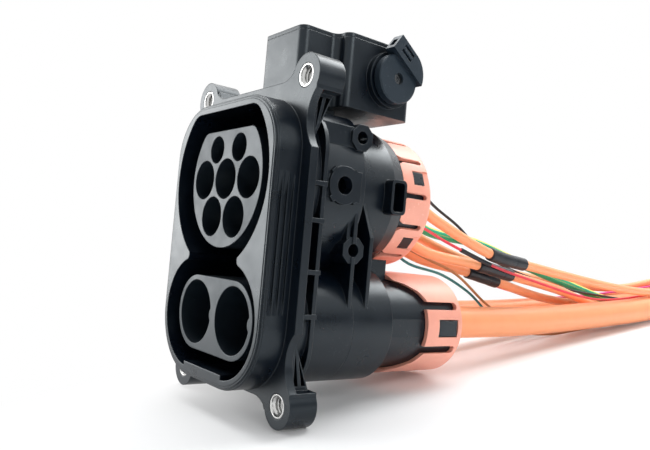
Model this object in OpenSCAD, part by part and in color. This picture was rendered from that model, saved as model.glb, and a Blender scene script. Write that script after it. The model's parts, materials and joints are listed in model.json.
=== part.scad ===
// Combined AC and DC vehicle charge inlet with lock actuator, rear caps and harness tail.
// Origin: middle of the flange bolt pattern on the flange's front face. Front faces -Y, +Z is up.

/* [Contact face] */
// Height of the AC contact group's centre above the bolt centre
ac_z = 20.1; // [19.6:0.1:21]
// Drop of the DC contact row below the bolt centre
dc_drop = 29.8; // [29.4:0.1:30.6]
// How far the contact faces stand ahead of the flange face
face_proud = 7.7; // [6:0.1:9]
// How far the collar's front edge stands ahead of the flange face
rim_proud = 10.3; // [9.5:0.1:13]
// Depth of the plug cavity behind the flange face
cavity_depth = 26; // [25:0.5:27]

/* [Contacts] */
// Spacing of the AC power contacts in their middle row
ac_pitch = 16.1; // [15.8:0.1:16.6]
// Drop of the lower AC row below the middle row
ac_low_drop = 13.9; // [13.7:0.1:14.3]
// Rise of the signal row above the middle row
ac_signal_rise = 11.1; // [10.8:0.1:11.4]
// Half the spacing of the two DC contacts
dc_half_pitch = 13.65; // [13.4:0.05:14]
// Radius of an AC power contact hole
ac_hole_r = 7.4; // [6.8:0.1:7.6]
// Radius of a signal contact hole
signal_hole_r = 5.1; // [4.6:0.1:5.4]
// Radius of a DC contact hole
dc_hole_r = 11.9; // [11:0.1:12.4]
// Radius of an AC power pin
ac_pin_r = 3; // [2.5:0.1:3.4]
// Radius of a signal pin
signal_pin_r = 1.5; // [1.2:0.1:1.9]
// Radius of a DC pin
dc_pin_r = 4; // [3.5:0.1:5]
// How far the AC power pin tips lie behind the contact face
ac_tip_depth = 10; // [8:0.5:13]
// How far the DC pin tips lie behind the contact face
dc_tip_depth = 13; // [11:0.5:16]

/* [Islands and cavity] */
// Radius of the AC island
ac_island_r = 25.2; // [25:0.1:25.8]
// Height of the AC island's flat top above its centre
ac_island_flat = 18.05; // [17.7:0.05:18.6]
// Radius of the AC half of the plug cavity
ac_cavity_r = 33.3; // [32.5:0.1:33.6]
// Height of the AC cavity's flat top above its centre
ac_cavity_flat = 24.9; // [24.6:0.1:25.2]
// Radius of the DC island's round ends
dc_island_r = 13.8; // [13.6:0.1:14.4]
// Radius of the DC cavity's round ends
dc_cavity_r = 20.2; // [19.6:0.1:20.4]
// Half the spacing of the DC cavity's round ends
dc_cavity_half = 12.9; // [12.5:0.1:13.1]
// Wall of the buckets behind the flange
bucket_wall = 2.3; // [1.8:0.1:2.6]

/* [Collar] */
// Half-width of the collar
collar_half_w = 36.2; // [36:0.1:37.4]
// Top edge of the collar above the bolt centre
collar_top = 48.5; // [48.2:0.1:50.5]
// Bottom edge of the collar below the bolt centre
collar_drop = 53.5; // [53.2:0.1:54.5]
// Corner radius at the collar's top
collar_r_top = 20; // [17:0.5:21]
// Corner radius at the collar's bottom
collar_r_bottom = 24; // [21:0.5:25]
// Radius of the collar's rounded front edge
collar_edge_r = 1.5; // [1:0.1:2]
// Depth of the flutes in the collar's side walls
flute_depth = 0.9; // [0.5:0.1:1.3]

/* [Flange] */
// Bolt spacing across the flange
bolt_dx = 69.2; // [68.4:0.1:71]
// Bolt spacing up the flange
bolt_dz = 109.4; // [108.6:0.1:112]
// Radius of a lug
lug_r = 7.6; // [7:0.1:8.6]
// Depth of a lug behind the flange face
lug_depth = 10.8; // [10:0.1:12.5]
// Thickness of the flange's front plate
flange_t = 3; // [2.4:0.1:3.6]
// Half-width of the flange between its lugs
flange_half_w = 41.2; // [40.4:0.1:42.5]
// Thickness of the thin ribs and plates
rib_t = 1.6; // [1.2:0.1:2]
// Outer radius of a threaded insert
insert_r = 4.15; // [3.8:0.05:4.8]
// Bore radius of a threaded insert
insert_bore_r = 2.5; // [2.1:0.1:3]

/* [Side bosses] */
// How far the screw boss faces stand out to the side
boss_x = 34; // [33:0.5:35]
// Radius of a screw boss
boss_r = 4.7; // [4.2:0.1:5.2]
// Radius of a screw boss hole
boss_hole_r = 2.35; // [1.8:0.05:2.6]
// Radius of the side lock port's disc
port_r = 6.75; // [6:0.25:7.5]
// Radius of the side lock port
port_hole_r = 3.2; // [2.6:0.1:3.6]

/* [Rear barrels and caps] */
// Radius of the AC barrel
ac_barrel_r = 29; // [28.4:0.1:29.4]
// Wall between the outer AC contacts and the pocket that they sit in
ac_pin_margin = 2.3; // [1.8:0.1:2.6]
// Rear end of the AC cap behind the flange face
ac_cap_rear = 73; // [72:0.5:76]
// Length of the AC cap
ac_cap_len = 16.2; // [15.5:0.1:17]
// Radius of the DC barrel
dc_barrel_r = 22; // [21.4:0.1:22.4]
// Rear end of the DC barrel behind the flange face
dc_barrel_end = 48; // [46:0.5:50]
// Outer radius of the DC cap's round ends
dc_cap_r = 20.1; // [19.8:0.1:20.6]
// Rear end of the DC cap behind the flange face
dc_cap_rear = 90.3; // [89.5:0.1:94]
// Length of the DC cap
dc_cap_len = 32.3; // [31.5:0.1:33]
// Wall of both caps
cap_wall = 1.75; // [1.5:0.05:2]
// Clearance between a cap and its barrel neck
cap_gap = 0.15; // [0.1:0.05:0.3]

/* [Lock actuator] */
// Left side of the actuator box from the middle of the inlet
box_left = 8.5; // [8:0.1:9.5]
// Right side of the actuator box's narrow front
box_right = 17.8; // [17.4:0.1:19]
// Right side of the actuator box's wide rear
box_bulge = 24.6; // [24:0.1:26]
// Front of the actuator box behind the flange face
box_front = 8.5; // [8:0.1:9.5]
// Start of the wide rear behind the flange face
bulge_front = 24.5; // [23:0.5:25]
// Rear of the actuator box behind the flange face
box_rear = 58; // [57:0.5:60]
// Underside of the actuator box above the bolt centre
box_z = 50.6; // [50.2:0.1:51]
// Height of the actuator box without its lid
box_h = 26.3; // [26:0.1:28]
// Thickness of the lid
lid_t = 1.5; // [1.2:0.1:2]
// Wall of the actuator box
box_wall = 2; // [1.6:0.1:2.2]
// Place of the release shaft behind the flange face
release_y = 45; // [44.5:0.1:45.5]
// Height of the release shaft above the underside of the actuator box
release_z = 13.7; // [13.2:0.1:14.2]
// Radius of the release disc
release_r = 9.5; // [8.5:0.1:10]
// Radius of the lock pin
lock_pin_r = 3; // [2.5:0.1:3.2]
// Radius of the release shaft
shaft_r = 2.5; // [2:0.1:2.8]

/* [Leads] */
// Radius of an AC lead
ac_lead_r = 2.3; // [1.9:0.1:2.6]
// Radius of a DC lead
dc_lead_r = 7.1; // [6.5:0.1:7.4]
// Radius of a signal wire
wire_r = 0.65; // [0.4:0.05:0.8]
// Wall of a shrink sleeve
sleeve_wall = 0.8; // [0.5:0.1:1]

/* [Hidden] */
$fn = 64;

// Cuts run this far past the faces they open
e = 0.5;
// Clearance of a piece in its seat
seat_gap = 0.1;
// Running clearance of a shaft or pin
run_gap = 0.08;

dc_z = -dc_drop;
face_y = -face_proud;
rim_y = -rim_proud;
bulkhead_t = 3;
bulkhead_y = cavity_depth + bulkhead_t;
ac_bucket_r = ac_cavity_r + bucket_wall;
ac_bucket_flat = ac_cavity_flat + bucket_wall;

// Contact places in the face, as [x, z]
ac_low_z = ac_z - ac_low_drop;
ac_signal_z = ac_z + ac_signal_rise;
ac_power_xz = [[-ac_pitch, ac_z], [ac_pitch, ac_z], [-ac_pitch / 2, ac_low_z], [ac_pitch / 2, ac_low_z]];
ac_earth_xz = [0, ac_z];
ac_signal_xz = [[-ac_pitch / 2, ac_signal_z], [ac_pitch / 2, ac_signal_z]];
dc_xz = [[-dc_half_pitch, dc_z], [dc_half_pitch, dc_z]];

// Depths along the contacts
socket_floor_t = 5;
hole_floor = cavity_depth - socket_floor_t;
ac_block_len = 20;
ac_block_rear = cavity_depth + ac_block_len;
dc_block_len = 22;
dc_block_rear = cavity_depth + dc_block_len;
pin_collar_t = 2;
ac_crimp_len = 10;
ac_crimp_rear = ac_block_rear + ac_crimp_len;
dc_crimp_len = 18;
dc_crimp_rear = dc_block_rear + dc_crimp_len;
retainer_t = 2;
ac_body_step = 1.5;
ac_body_r = ac_pin_r + ac_body_step;
signal_body_step = 1;
signal_body_r = signal_pin_r + signal_body_step;
dc_body_step = 3.5;
dc_body_r = dc_pin_r + dc_body_step;

// Barrel necks under the caps
ac_cap_front = ac_cap_rear - ac_cap_len;
dc_cap_front = dc_cap_rear - dc_cap_len;
cap_floor_t = 1.8;
ac_seal_t = 9;
dc_seal_t = 10;
neck_wall = 2.1;
ac_pocket_r = ac_pitch + ac_body_r + ac_pin_margin;
ac_neck_r = ac_pocket_r + neck_wall;
ac_cap_r = ac_neck_r + cap_gap + cap_wall;
dc_neck_r = dc_cap_r - cap_wall - cap_gap;
dc_pocket_r = dc_neck_r - neck_wall;
ac_neck_rear = ac_cap_rear - cap_floor_t - cap_gap;
dc_neck_rear = dc_cap_rear - cap_floor_t - cap_gap;
ac_taper_front = ac_cap_front - 7;

// Latches of the AC cap, as angles round its axis from +X towards +Z
ac_latch_angles = [20 : 60 : 320];
ac_slot_angle = 16.5;
ac_window = [6.4, 6];
ac_window_y = ac_cap_rear - 10.4;
ac_notch_w = 7;
ac_notch_sink = 1.3;
ac_slot_end = ac_cap_rear - 3.6;
ac_slot_w = 2.2;
nose_gap = 0.4;
nose_sink = 0.3;

// Latches of the DC cap on its two ends
dc_window = [11, 7];
dc_window_y = dc_cap_rear - 14.8;
dc_tab_half = 7.2;
dc_slot_w = 3;
dc_tab_front = dc_cap_rear - 21.3;
dc_side_front = dc_cap_rear - 19.8;
dc_slot_end = dc_cap_rear - 3.6;

// Lock train: drive gear to transfer gear, its pinion to the rack on the lock pin
gear_m = 1;
drive_teeth = 16;
transfer_teeth = 16;
pinion_teeth = 12;
rack_offset = 4;
transfer_y = release_y - gear_m * (drive_teeth + transfer_teeth) / 2;
rack_y = transfer_y - gear_m * pinion_teeth / 2;
lock_pin_y = rack_y - rack_offset;
lock_travel = 6.4;
gear_x = 8;
gear_t = 4;
pinion_x = -2.6;
shaft_inset = 1.4;
transfer_tail = 5;
transfer_end = gear_x + gear_t + transfer_tail;
tail_gap = 0.5;
lock_tip_z = ac_z + ac_cavity_flat + 0.6;
box_top = box_z + box_h;
shaft_z = box_z + release_z;
collar_x = box_bulge + 2.6;
disc_x = collar_x + 0.5;
disc_t = 3.4;
disc_edge = 0.5;
lever_t = 5.2;
release_screw_r = 2.1;
ear_x = -box_left - 4.2;
ear_r = 4.2;
ear_t = 4;
ear_y = [16, 44];
screw_r = 2;
screw_tip_z = box_z - 3;
box_gap = 0.4;

// Lead routes, from the crimp to the cut end
y_ac = ac_crimp_rear;
y_dc = dc_crimp_rear;
y_sig = ac_block_rear + pin_collar_t + retainer_t;
dc_right_route = [
  [dc_half_pitch, y_dc, dc_z], [dc_half_pitch, 100, dc_z], [14, 150, -29.2], [14, 208, -26.2],
  [14, 285, -20.4], [14, 360, -11.8]
];
dc_left_route = [
  [-dc_half_pitch, y_dc, dc_z], [-dc_half_pitch, 100, dc_z], [-14, 150, -29.2], [-14, 208, -26.2],
  [-14, 285, -20.4], [-14, 360, -11.8]
];
l1_route = [
  [ac_pitch, y_ac, ac_z], [ac_pitch, 72, ac_z], [16.4, 87, 14.2], [16.8, 124, 2.4], [16.6, 151, -1.2],
  [14, 285, -10.8], [14, 356, -2.4]
];
n_route = [
  [-ac_pitch, y_ac, ac_z], [-ac_pitch, 72, ac_z], [-16.4, 92, 13.4], [-16.4, 151, -2], [-14, 285, -10.8],
  [-14, 356, -2.4]
];
l2_route = [
  [ac_pitch / 2, y_ac, ac_low_z], [ac_pitch / 2, 72, ac_low_z], [8.4, 90, 0.4], [8.6, 126, -3.4],
  [8.6, 152, -7.2], [7, 196, -13], [3.6, 246, -22], [2.6, 290, -24.6], [2.6, 356, -16.8]
];
l3_route = [
  [-ac_pitch / 2, y_ac, ac_low_z], [-ac_pitch / 2, 74, ac_low_z], [-2, 97, -2.6], [1.6, 127, -7],
  [1.6, 150, -11], [-0.6, 190, -17.6], [-2.6, 245, -22], [-2.6, 290, -24.6], [-2.6, 356, -16.8]
];
earth_route = [
  [0, y_ac, ac_z], [0, 72, ac_z], [-1, 100, 10.4], [-1, 134, 7.4], [-1, 160, 2], [-0.6, 204, -7.4],
  [0, 285, -20], [0, 352, -13]
];
black_route = [
  [ac_pitch / 2, y_ac, ac_signal_z], [ac_pitch / 2, 74, ac_signal_z], [6, 98, 20.6], [6, 113, 14],
  [5, 130, 4.5], [3, 152, -2.4], [3.6, 200, -11.4], [4.4, 245, -15], [4.2, 285, -16.6], [4.2, 330, -12.4]
];
blue_route = [
  [-ac_pitch / 2, y_ac, ac_signal_z], [-ac_pitch / 2, 74, ac_signal_z], [-4, 104, 18.4],
  [-5.6, 140, 8.4], [-4.4, 285, -19], [-4.4, 325, -15.6]
];
red_route = [
  [17, y_sig, 11.5], [17, 73, 11.5], [13.6, 97, 5.8], [13.2, 108, 2.9], [13.2, 130, -2.7], [12.6, 160, -8],
  [12.6, 225, -16.6], [10.2, 290, -12.4], [10.2, 335, -7.2]
];
teal_route = [
  [-3, y_sig, 2.5], [-3, 74, 2.5], [-3.2, 92, -5.4], [-2.6, 114, -9.4], [0, 130, -16.4], [-2, 168, -36],
  [-6.6, 240, -32.6], [-6.8, 300, -25.2]
];
brown_route = [
  [3, y_sig, 2.5], [3, 78, 2.5], [3.4, 98, -2.8], [3.4, 117, -8.4], [2.4, 144, -23], [0.5, 182, -37.2],
  [6.8, 300, -25.2]
];
pink_route = [
  [-17, y_sig, 11.5], [-17, 73, 11.5], [-12, 130, -6], [-11.6, 205, -18.2], [-10.2, 290, -12.4],
  [-10.2, 335, -7.2]
];
wire_xz = [[17, 11.5], [-3, 2.5], [3, 2.5], [-17, 11.5]];

housing_black = "#24272a";
block_black = "#2b2e31";
cap_orange = "#f08a62";
lead_orange = "#f57f2a";

// Outline helpers

// Carries an outline in X and Z from one depth to another
module slab(y0, y1) {
  translate([0, y1, 0]) rotate([90, 0, 0]) linear_extrude(y1 - y0) children();
}

// Carries an outline in Y and Z from one side place to another
module across(x0, x1) {
  translate([x0, 0, 0]) rotate([90, 0, 90]) linear_extrude(x1 - x0) children();
}

// Round rod along Y
module rod_y(r, y0, y1, x = 0, z = 0) {
  translate([x, y0, z]) rotate([-90, 0, 0]) cylinder(h = y1 - y0, r = r);
}

// Round rod along X
module rod_x(r, x0, x1, y, z) {
  translate([x0, y, z]) rotate([0, 90, 0]) cylinder(h = x1 - x0, r = r);
}

// Circle with a flat top and round top corners
module flat_top_disc(r, flat, corner) {
  corner_z = flat - corner;
  corner_x = sqrt(pow(r - corner, 2) - pow(corner_z, 2));
  cut_z = corner_z * r / (r - corner);
  intersection() {
    circle(r);
    translate([-r, -r]) square([2 * r, r + cut_z]);
  }
  for (side = [-1, 1]) translate([side * corner_x, corner_z]) circle(corner);
  translate([-corner_x, 0]) square([2 * corner_x, flat]);
}

// Two round ends joined by straight sides
module stadium(r, half) {
  for (side = [-1, 1]) translate([side * half, 0]) circle(r);
  translate([-half, -r]) square([2 * half, 2 * r]);
}

// Upright block with its own corner radii at the top and the bottom
module round_block(half_w, top, bottom, r_top, r_bottom) {
  polygon([
    [half_w - r_top, top], [half_w, top - r_top], [half_w, bottom + r_bottom], [half_w - r_bottom, bottom],
    [r_bottom - half_w, bottom], [-half_w, bottom + r_bottom], [-half_w, top - r_top], [r_top - half_w, top]
  ]);
  for (side = [-1, 1]) {
    translate([side * (half_w - r_top), top - r_top]) circle(r_top);
    translate([side * (half_w - r_bottom), bottom + r_bottom]) circle(r_bottom);
  }
}

// Rectangle with round corners between two places
module round_rect(x0, x1, y0, y1, r) {
  translate([x0 + r, y0]) square([x1 - x0 - 2 * r, y1 - y0]);
  translate([x0, y0 + r]) square([x1 - x0, y1 - y0 - 2 * r]);
  for (x = [x0 + r, x1 - r], y = [y0 + r, y1 - r]) translate([x, y]) circle(r);
}

module at_bolts() {
  for (sx = [-1, 1], sz = [-1, 1]) translate([sx * bolt_dx / 2, 0, sz * bolt_dz / 2]) children();
}

// Turns a shape drawn at +X round the AC axis
module round_ac(angle) {
  translate([0, 0, ac_z]) rotate([0, -angle, 0]) children();
}

// Housing

module collar_outline(grow) {
  round_block(collar_half_w + grow, collar_top + grow, -collar_drop - grow,
    collar_r_top + grow, collar_r_bottom + grow);
}

module collar() {
  steps = 4;
  for (i = [0 : steps - 1]) {
    a = 90 * i / (steps - 1);
    slab(rim_y + collar_edge_r * (1 - cos(a)), e) collar_outline(collar_edge_r * (sin(a) - 1));
  }
}

// Tapered grooves in the collar's side walls
flute_w = 1.5;
flute_pitch = 2.3;
flute_z = [26, 14, -20, -28];
module flutes() {
  for (side = [-1, 1], row = [0 : 2])
    translate([side * collar_half_w, rim_y + 2.2 + row * flute_pitch, 0])
      rotate([90, 0, 0])
        translate([0, 0, -flute_w])
          linear_extrude(flute_w)
            polygon([
              [side * e, flute_z[0]], [-side * flute_depth, flute_z[1]],
              [-side * flute_depth, flute_z[2]], [side * e, flute_z[3]]
            ]);
}

// Flange outline: straight sides, waists below the lugs, round lugs with hollow blends
module flange_outline() {
  waist_r = 14;
  waist_x = flange_half_w - 3.9 + waist_r;
  waist_z = bolt_dz / 2 - 14.7;
  top = bolt_dz / 2 - 0.7;
  blend_r = 12;
  blend_x = bolt_dx / 2 - 15.1;
  difference() {
    translate([-flange_half_w, -top]) square([2 * flange_half_w, 2 * top]);
    for (sx = [-1, 1], sz = [-1, 1]) translate([sx * waist_x, sz * waist_z]) circle(waist_r);
  }
  for (sx = [0, 1], sz = [0, 1]) mirror([sx, 0]) mirror([0, sz]) {
    translate([bolt_dx / 2, bolt_dz / 2]) circle(lug_r);
    difference() {
      translate([blend_x, top - 4]) square([11.6, 10.8]);
      translate([blend_x, top + blend_r - 0.15]) circle(blend_r);
    }
  }
}

module in_lugs(x, z, w, h) {
  intersection() {
    flange_outline();
    for (sx = [0, 1], sz = [0, 1]) mirror([sx, 0]) mirror([0, sz])
      translate([bolt_dx / 2 + x, bolt_dz / 2 + z]) square([w, h]);
  }
}

// Necks that taper from the lugs' heads to the front plate, with two pointed slots on the outer side
neck_x = [-8, 2.2];
neck_z = [-4.6, -24];
neck_slots = [
  [[4.3, -6.5], [6.1, -6.5], [4.1, -18]],
  [[7.5, -6.5], [9.2, -6.5], [5.6, -15.5]]
];
module lug_neck() {
  translate([bolt_dx / 2, 0, bolt_dz / 2]) difference() {
    across(neck_x[0], neck_x[1])
      polygon([[flange_t - e, neck_z[0]], [lug_depth - 0.2, neck_z[0]], [flange_t - e, neck_z[1]]]);
    for (outline = neck_slots) across(-1, neck_x[1] + 1) polygon(outline);
  }
}

// Front plate, plate round the bucket, lugs and the short ribs between the two plates
rib_z = [19.4, 6.9, -10.5, -25.3];
module flange() {
  slab(0, flange_t) flange_outline();
  slab(flange_t, lug_depth) in_lugs(-10, -5.2, 30, 22);
  slab(lug_depth - rib_t, lug_depth)
    round_block(flange_half_w - 4.4, collar_top - 2, 2 - collar_drop, 16, 16);
  for (sx = [0, 1], sz = [0, 1]) mirror([sx, 0, 0]) mirror([0, 0, sz]) {
    lug_neck();
    slab(0.4, lug_depth - 0.4) translate([bolt_dx / 2, bolt_dz / 2])
      polygon([[-20.6, -16.7], [-9.4, -20.7], [-4.4, -3], [-8, 3]]);
  }
  for (side = [-1, 1], z = rib_z)
    translate([side * 35 - 2.6, 0, z - rib_t / 2]) cube([5.2, lug_depth, rib_t]);
}

// Walls round the plug cavity, closed by the bulkhead
module buckets() {
  slab(0, bulkhead_y) translate([0, ac_z]) flat_top_disc(ac_bucket_r, ac_bucket_flat, 9.5);
  slab(0, bulkhead_y) translate([0, dc_z]) stadium(dc_barrel_r, dc_half_pitch);
}

// Outer edge of the upright plates
fin_x = dc_half_pitch + dc_barrel_r - 1.2;
module front_fins() {
  for (side = [0, 1]) mirror([side, 0, 0])
    slab(bulkhead_y - 1.6 * rib_t, bulkhead_y - 0.6 * rib_t)
      polygon([[0, dc_z], [fin_x, dc_z], [fin_x, ac_z - 6], [ac_barrel_r - 1, ac_z], [0, ac_z]]);
  web_y = cavity_depth - 0.2;
  slab(web_y - rib_t, web_y)
    polygon([[0, ac_z - 24], [boss_x - 0.6, ac_z - 24], [boss_x - 0.6, ac_z - 4], [0, ac_z - 4]]);
}

// Two screw bosses one above the other, and the round lock port between them
boss_hole_depth = 7;
boss_y = 27.3;
boss_z = [38.3, -2];
boss_root_x = 24;
port_yz = [19, ac_z];
port_x = ac_bucket_r + 1;
port_root_x = 20;
port_tab = [1.5, 1.6, 2.4];

module side_bosses() {
  for (z = boss_z)
    translate([boss_root_x, boss_y, z]) rotate([0, 90, 0]) rotate(22.5)
      cylinder(h = boss_x - boss_root_x, r = boss_r / cos(22.5), $fn = 8);
  translate([boss_root_x, lug_depth - e, boss_z[0] - 3.8])
    cube([boss_x - boss_root_x - 1.2, boss_y - lug_depth + e, 7.2]);
  rod_x(port_r, port_root_x, port_x, port_yz[0], port_yz[1]);
  translate([port_root_x, port_yz[0], port_yz[1] - 5.4]) cube([port_x - port_root_x, port_r + 0.6, 10.8]);
  for (sy = [-1, 1], sz = [-1, 1])
    translate([port_x - port_tab[0], port_yz[0] + sy * port_r * 0.71, port_yz[1] + sz * port_r * 0.71])
      rotate([45 * sy * sz, 0, 0]) translate([0, -port_tab[1] / 2, -port_tab[2] / 2]) cube(port_tab);
}

// Front pad on the AC bucket that carries the actuator and guides the lock pin
module actuator_pad() {
  translate([ear_x - ear_r, lug_depth, ac_z])
    cube([box_right - ear_x, bulkhead_y - lug_depth, box_z - ac_z]);
}

// Plug cavity: the AC round and the DC stadium run together between two round noses
nose_x = 20.4;
nose_z = -8.6;
nose_r = 2.4;
module cavity_outline() {
  translate([0, ac_z]) flat_top_disc(ac_cavity_r, ac_cavity_flat, 8);
  translate([0, dc_z]) stadium(dc_cavity_r, dc_cavity_half);
  difference() {
    translate([-nose_x, nose_z - 3]) square([2 * nose_x, 6]);
    for (side = [-1, 1]) translate([side * nose_x, nose_z]) circle(nose_r);
  }
}

// Low ledge at the mouth of the DC half
ledge = [28, 6, 2.6];

module screw_hole(y) {
  translate([ear_x, y, screw_tip_z - 0.4]) cylinder(h = box_z - screw_tip_z + 2, r = screw_r + run_gap);
}

module housing() color(housing_black) difference() {
  union() {
    collar();
    flange();
    buckets();
    front_fins();
    side_bosses();
    actuator_pad();
  }
  difference() {
    slab(rim_y - e, cavity_depth) cavity_outline();
    translate([-ledge[0] / 2, rim_y, dc_z - dc_cavity_r - 1]) cube(ledge);
  }
  rod_y(ac_pocket_r, cavity_depth - e, bulkhead_y + e, 0, ac_z);
  slab(cavity_depth - e, bulkhead_y + e) translate([0, dc_z]) stadium(dc_pocket_r, dc_half_pitch);
  flutes();
  at_bolts() rod_y(insert_r + seat_gap / 2, -e, lug_depth + e);
  for (z = boss_z) rod_x(boss_hole_r, boss_x - boss_hole_depth, boss_x + e, boss_y, z);
  rod_x(port_hole_r, ac_cavity_r - 4, port_x + e, port_yz[0], port_yz[1]);
  translate([0, lock_pin_y, ac_z]) cylinder(h = box_z - ac_z + e, r = lock_pin_r + run_gap);
  screw_hole(ear_y[0]);
}

// Rear barrels

module barrels() {
  rod_y(ac_barrel_r, bulkhead_y, ac_taper_front, 0, ac_z);
  translate([0, ac_taper_front, ac_z]) rotate([-90, 0, 0])
    cylinder(h = ac_cap_front - 0.6 - ac_taper_front, r1 = ac_barrel_r, r2 = ac_cap_r + 0.4);
  rod_y(ac_neck_r, bulkhead_y, ac_neck_rear, 0, ac_z);
  for (a = ac_latch_angles) round_ac(a)
    translate([ac_neck_r - 1, ac_window_y + nose_gap, nose_gap - ac_window[1] / 2])
      cube([1 + cap_gap + cap_wall - nose_sink, ac_window[0] - 2 * nose_gap, ac_window[1] - 2 * nose_gap]);
  slab(bulkhead_y, dc_barrel_end) translate([0, dc_z]) stadium(dc_barrel_r, dc_half_pitch);
  slab(bulkhead_y, dc_neck_rear) translate([0, dc_z]) stadium(dc_neck_r, dc_half_pitch);
  for (side = [0, 1]) mirror([side, 0, 0])
    translate([dc_half_pitch + dc_neck_r - 1, dc_window_y + nose_gap, dc_z - dc_window[1] / 2 + nose_gap])
      cube([1 + cap_gap + cap_wall - nose_sink, dc_window[0] - 2 * nose_gap, dc_window[1] - 2 * nose_gap]);
  translate([6, dc_barrel_end - 2, dc_z + dc_neck_r - 2])
    cube([13, dc_cap_front - cap_gap - dc_barrel_end + 1.5, 9]);
}

// Upright plate that fills the hollow between the barrels
module rear_fin() {
  y = bulkhead_y + 5.4;
  for (side = [0, 1]) mirror([side, 0, 0]) slab(y, y + rib_t)
    polygon([[0, dc_z], [fin_x, dc_z], [fin_x, ac_z - 17], [ac_barrel_r - 1, ac_z - 3], [0, ac_z - 3]]);
}

// Hollow socket on the side of the AC barrel
socket_y = [44.4, 51.9];
socket_z = ac_z - 0.7;
socket_half_h = 6.6;
socket_x = 33.2;
socket_root_x = 20;
socket_depth = 7;
socket_wall = 1.1;
module socket_outline(inset, corner) {
  round_rect(socket_y[0] + inset, socket_y[1] - inset,
    socket_z - socket_half_h + inset, socket_z + socket_half_h - inset, corner);
}

// Space that the barrels leave free under the actuator box and its ears
module under_box() {
  translate([ear_x - ear_r - box_gap, bulkhead_y - e, box_z - box_gap])
    cube([box_bulge - ear_x + ear_r + 2 * box_gap, box_rear - bulkhead_y + box_gap + e, box_h]);
}

// Rear post on the AC barrel for the actuator's second screw
module actuator_post() {
  translate([ear_x, ear_y[1], ac_z + 20]) cylinder(h = box_z - ac_z - 20, r = ear_r);
}

module rear_barrels() color(housing_black) difference() {
  union() {
    difference() {
      barrels();
      under_box();
    }
    rear_fin();
    across(socket_root_x, socket_x) socket_outline(0, 2);
    actuator_post();
  }
  rod_y(ac_pocket_r, bulkhead_y - e, ac_neck_rear + e, 0, ac_z);
  slab(bulkhead_y - e, dc_neck_rear + e) translate([0, dc_z]) stadium(dc_pocket_r, dc_half_pitch);
  across(socket_x - socket_depth, socket_x + e) socket_outline(socket_wall, 1.2);
  screw_hole(ear_y[1]);
  for (side = [-1, 1])
    translate([side * (dc_half_pitch + dc_neck_r + 1.65) - 2, dc_barrel_end, dc_z - 3.3])
      cube([4, dc_tab_front - 1 - dc_barrel_end, 6.6]);
}

// Contact blocks

// Bores for the contacts' bodies, behind the sockets
module ac_body_bores(y0, y1) {
  for (p = concat(ac_power_xz, [ac_earth_xz])) rod_y(ac_body_r + seat_gap, y0, y1, p[0], p[1]);
  for (p = ac_signal_xz) rod_y(signal_body_r + seat_gap, y0, y1, p[0], p[1]);
}

module dc_body_bores(y0, y1) {
  for (p = dc_xz) rod_y(dc_body_r + seat_gap, y0, y1, p[0], p[1]);
}

module ac_contact_block() color(block_black) difference() {
  slab(face_y, cavity_depth) translate([0, ac_z]) flat_top_disc(ac_island_r, ac_island_flat, 5);
  for (p = concat(ac_power_xz, [ac_earth_xz])) rod_y(ac_hole_r, face_y - e, hole_floor, p[0], p[1]);
  for (p = ac_signal_xz) rod_y(signal_hole_r, face_y - e, hole_floor, p[0], p[1]);
  ac_body_bores(hole_floor - e, cavity_depth + e);
}

// The DC sockets have a small round stop on their right side
dc_stop_r = 3;
module dc_contact_block() color(block_black) difference() {
  slab(face_y, cavity_depth) translate([0, dc_z]) stadium(dc_island_r, dc_half_pitch);
  for (p = dc_xz) difference() {
    rod_y(dc_hole_r, face_y - e, hole_floor, p[0], p[1]);
    rod_y(dc_stop_r, face_y + 1, face_y + 3, p[0] + dc_hole_r, p[1]);
  }
  dc_body_bores(hole_floor - e, cavity_depth + e);
}

// Carriers that hold the contacts in the barrels, behind the blocks
module ac_contact_carrier() color(block_black) difference() {
  rod_y(ac_pocket_r - seat_gap, cavity_depth, ac_block_rear, 0, ac_z);
  ac_body_bores(cavity_depth - e, ac_block_rear + e);
}

module dc_contact_carrier() color(block_black) difference() {
  slab(cavity_depth, dc_block_rear) translate([0, dc_z]) stadium(dc_pocket_r - seat_gap, dc_half_pitch);
  dc_body_bores(cavity_depth - e, dc_block_rear + e);
}

// Fixed small pieces

module flange_inserts() color("#d4d6d8") at_bolts() difference() {
  rod_y(insert_r, 0, lug_depth);
  rod_y(insert_bore_r, -e, lug_depth + e);
}

// Contact pin: round tip, body in the block, collar behind it, crimp at the rear
module contact_pin(xz, tip_y, r, body_r, block_rear, crimp_rear) {
  translate([xz[0], 0, xz[1]]) {
    translate([0, tip_y + r, 0]) intersection() {
      sphere(r);
      rod_y(r, -r, 0.01);
    }
    rod_y(r, tip_y + r, hole_floor);
    rod_y(body_r, hole_floor - 0.01, block_rear);
    rod_y(body_r + 0.9, block_rear, block_rear + pin_collar_t);
    rod_y(body_r - 0.4, block_rear, crimp_rear);
  }
}

module ac_power_pins() color("#c9ccce")
  for (p = ac_power_xz)
    contact_pin(p, face_y + ac_tip_depth, ac_pin_r, ac_body_r, ac_block_rear, ac_crimp_rear);

module ac_earth_pin() color("#c9ccce")
  contact_pin(ac_earth_xz, face_y + ac_tip_depth - 4, ac_pin_r, ac_body_r, ac_block_rear, ac_crimp_rear);

module ac_signal_pins() color("#c9ccce")
  for (p = ac_signal_xz)
    contact_pin(p, face_y + ac_tip_depth + 4, signal_pin_r, signal_body_r, ac_block_rear, ac_crimp_rear);

module dc_power_pins() color("#c9ccce") for (p = dc_xz) translate([p[0], 0, p[1]]) {
  rod_y(dc_pin_r, face_y + dc_tip_depth, hole_floor);
  rod_y(dc_body_r, hole_floor - 0.01, dc_block_rear);
  rod_y(dc_body_r + 1.2, dc_block_rear, dc_block_rear + pin_collar_t);
  rod_y(dc_body_r - 0.2, dc_block_rear, dc_crimp_rear);
}

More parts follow.
